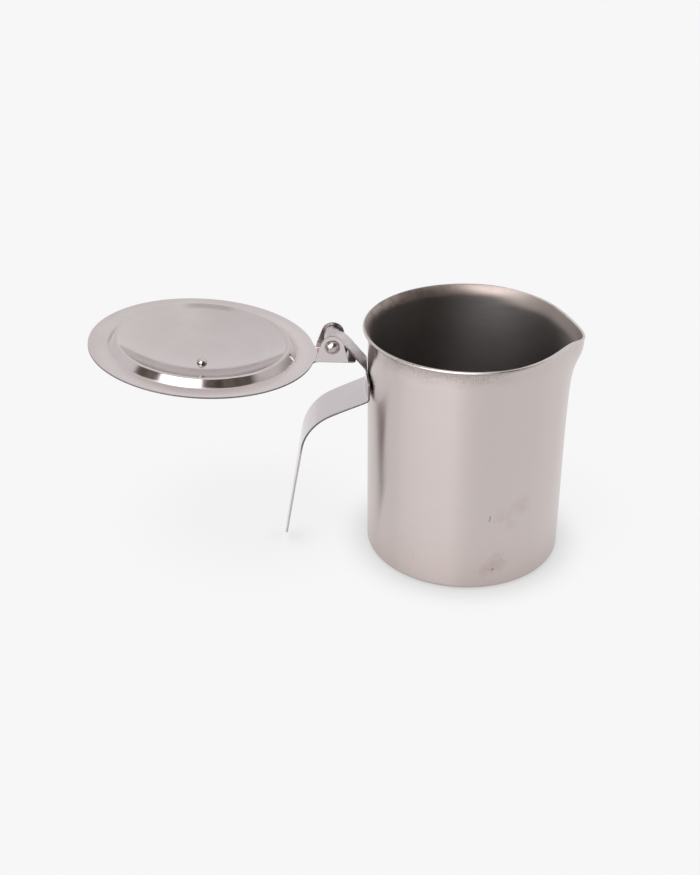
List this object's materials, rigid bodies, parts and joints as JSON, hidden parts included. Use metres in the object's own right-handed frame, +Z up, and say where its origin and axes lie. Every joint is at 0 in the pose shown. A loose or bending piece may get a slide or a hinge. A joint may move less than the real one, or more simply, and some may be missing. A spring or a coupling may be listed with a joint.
{
  "type": "hinged-lid grease jug",
  "caption": "Small cylindrical steel jug with a pinched pouring spout, a bent strap handle and a dished lid that swings back on a hinge above the handle.",
  "frame": {"origin": "centre of the flat base of the jug body", "axes": "+Z up, +X towards the pouring spout, -X towards the handle and hinge"},
  "size_m": [0.1946, 0.089, 0.0983],
  "materials": {
    "satin_steel": "satin, brushed round the body",
    "strap_steel": "polished strip",
    "lid_steel": "polished, lightly soiled underside",
    "pin_steel": "polished",
    "knob_steel": "polished",
    "rivet_steel": "polished"
  },
  "bodies": {
    "jug": {"jug_body": "satin_steel", "handle_strap": "strap_steel"},
    "lid": {"lid": "lid_steel", "hinge_pin": "pin_steel", "knob": "knob_steel", "knob_rivet": "rivet_steel"}
  },
  "joints": [
    {"name": "lid_hinge", "type": "hinge", "parent": "jug", "child": "lid", "pos_m": [-0.0538, 0, 0.092], "axis": [0, 1, 0], "range_deg": [0, 174.4]}
  ]
}
